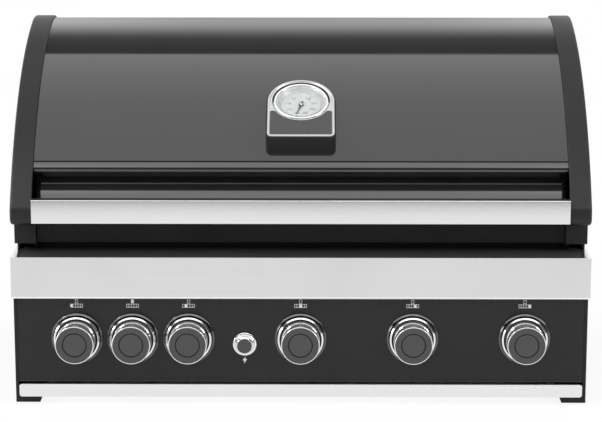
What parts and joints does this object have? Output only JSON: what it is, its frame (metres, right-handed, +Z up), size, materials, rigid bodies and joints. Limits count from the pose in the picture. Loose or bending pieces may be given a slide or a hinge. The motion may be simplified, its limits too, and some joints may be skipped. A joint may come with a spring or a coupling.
{
  "type": "built in gas grill",
  "caption": "Built-in gas grill head with an arched black lid, full-width steel handle, lid gauge, steel front band, row of control knobs and a pull-out grease tray.",
  "frame": {"origin": "on the plane that the feet stand on, under the middle of the whole part's box", "axes": "+X to the right seen from the front, +Y towards the back, +Z up"},
  "size_m": [0.88, 0.544, 0.555],
  "materials": {
    "gloss_black": "glossy black enamel",
    "satin_black": "satin black powder coat",
    "cast_black": "matt black, lightly textured",
    "brushed_steel": "brushed along its length",
    "inner_steel": "plain mill finish",
    "chrome": "polished",
    "button_chrome": "bright plated plastic",
    "knob": "dark face in a bright plated side",
    "cast_iron": "matt enamel",
    "brass": "plain turned brass and plated pipe",
    "gauge_dial": "pale dial in a bright cup",
    "gauge_glass": "clear",
    "needle": "dark paint"
  },
  "bodies": {
    "chassis": {"hinge_pin_left": "inner_steel", "hinge_pin_right": "inner_steel", "side_casting_left": "cast_black", "side_casting_right": "cast_black", "firebox_front_wall": "cast_black", "firebox_rear_wall": "inner_steel", "firebox_floor": "inner_steel", "main_burner_1": "inner_steel", "main_burner_2": "inner_steel", "main_burner_3": "inner_steel", "main_burner_4": "inner_steel", "main_burner_5": "inner_steel", "rear_burner": "inner_steel", "flame_tamer_1": "inner_steel", "flame_tamer_2": "inner_steel", "flame_tamer_3": "inner_steel", "flame_tamer_4": "inner_steel", "flame_tamer_5": "inner_steel", "grate_left": "cast_iron", "grate_centre": "cast_iron", "grate_right": "cast_iron", "warming_rack": "inner_steel", "gas_manifold": "brass", "front_band": "brushed_steel", "front_shelf": "satin_black", "control_panel": "gloss_black", "side_panel_left": "satin_black", "side_panel_right": "satin_black", "rear_panel": "inner_steel", "knob_bezel_1": "chrome", "knob_bezel_2": "chrome", "knob_bezel_3": "chrome", "knob_bezel_4": "chrome", "knob_bezel_5": "chrome", "knob_bezel_6": "chrome", "igniter_bezel": "chrome"},
    "lid": {"lid_skin": "gloss_black", "lid_liner": "inner_steel", "lid_end_cap_left": "satin_black", "lid_end_cap_right": "satin_black", "lid_handle": "brushed_steel", "gauge_housing": "satin_black", "gauge_plate": "chrome", "gauge_case": "gauge_dial", "gauge_lens": "gauge_glass"},
    "gauge_needle": {"gauge_needle": "needle"},
    "drip_tray": {"drip_tray": "brushed_steel"},
    "igniter_button": {"igniter_button": "button_chrome"},
    "valve_spindle_1": {"valve_spindle_1": "inner_steel"},
    "knob_1": {"knob_1": "knob"},
    "valve_spindle_2": {"valve_spindle_2": "inner_steel"},
    "knob_2": {"knob_2": "knob"},
    "valve_spindle_3": {"valve_spindle_3": "inner_steel"},
    "knob_3": {"knob_3": "knob"},
    "valve_spindle_4": {"valve_spindle_4": "inner_steel"},
    "knob_4": {"knob_4": "knob"},
    "valve_spindle_5": {"valve_spindle_5": "inner_steel"},
    "knob_5": {"knob_5": "knob"},
    "valve_spindle_6": {"valve_spindle_6": "inner_steel"},
    "knob_6": {"knob_6": "knob"}
  },
  "joints": [
    {"name": "lid_hinge", "type": "hinge", "parent": "chassis", "child": "lid", "pos_m": [0, 0.215, 0.29], "axis": [-1, 0, 0], "range_deg": [0, 85]},
    {"name": "gauge_needle_turn", "type": "hinge", "parent": "lid", "child": "gauge_needle", "pos_m": [0, -0.12285, 0.45235], "axis": [0, 0.5002, -0.8659], "range_deg": [0, 290], "stiffness_Nm_per_rad": 0.0005},
    {"name": "drip_tray_slide", "type": "slide", "parent": "chassis", "child": "drip_tray", "axis": [0, -1, 0], "range_m": [0, 0.38]},
    {"name": "igniter_push", "type": "slide", "parent": "chassis", "child": "igniter_button", "axis": [0, 1, 0], "range_m": [0, 0.004], "stiffness_N_per_m": 400},
    {"name": "knob_1_turn", "type": "hinge", "parent": "chassis", "child": "valve_spindle_1", "pos_m": [-0.342, -0.24, 0.1025], "axis": [0, -1, 0], "range_deg": [0, 180]},
    {"name": "knob_1_push", "type": "slide", "parent": "valve_spindle_1", "child": "knob_1", "axis": [0, 1, 0], "range_m": [0, 0.004], "stiffness_N_per_m": 800},
    {"name": "knob_2_turn", "type": "hinge", "parent": "chassis", "child": "valve_spindle_2", "pos_m": [-0.2565, -0.24, 0.1025], "axis": [0, -1, 0], "range_deg": [0, 180]},
    {"name": "knob_2_push", "type": "slide", "parent": "valve_spindle_2", "child": "knob_2", "axis": [0, 1, 0], "range_m": [0, 0.004], "stiffness_N_per_m": 800},
    {"name": "knob_3_turn", "type": "hinge", "parent": "chassis", "child": "valve_spindle_3", "pos_m": [-0.171, -0.24, 0.1025], "axis": [0, -1, 0], "range_deg": [0, 180]},
    {"name": "knob_3_push", "type": "slide", "parent": "valve_spindle_3", "child": "knob_3", "axis": [0, 1, 0], "range_m": [0, 0.004], "stiffness_N_per_m": 800},
    {"name": "knob_4_turn", "type": "hinge", "parent": "chassis", "child": "valve_spindle_4", "pos_m": [0, -0.24, 0.1025], "axis": [0, -1, 0], "range_deg": [0, 180]},
    {"name": "knob_4_push", "type": "slide", "parent": "valve_spindle_4", "child": "knob_4", "axis": [0, 1, 0], "range_m": [0, 0.004], "stiffness_N_per_m": 800},
    {"name": "knob_5_turn", "type": "hinge", "parent": "chassis", "child": "valve_spindle_5", "pos_m": [0.171, -0.24, 0.1025], "axis": [0, -1, 0], "range_deg": [0, 180]},
    {"name": "knob_5_push", "type": "slide", "parent": "valve_spindle_5", "child": "knob_5", "axis": [0, 1, 0], "range_m": [0, 0.004], "stiffness_N_per_m": 800},
    {"name": "knob_6_turn", "type": "hinge", "parent": "chassis", "child": "valve_spindle_6", "pos_m": [0.342, -0.24, 0.1025], "axis": [0, -1, 0], "range_deg": [0, 180]},
    {"name": "knob_6_push", "type": "slide", "parent": "valve_spindle_6", "child": "knob_6", "axis": [0, 1, 0], "range_m": [0, 0.004], "stiffness_N_per_m": 800}
  ]
}
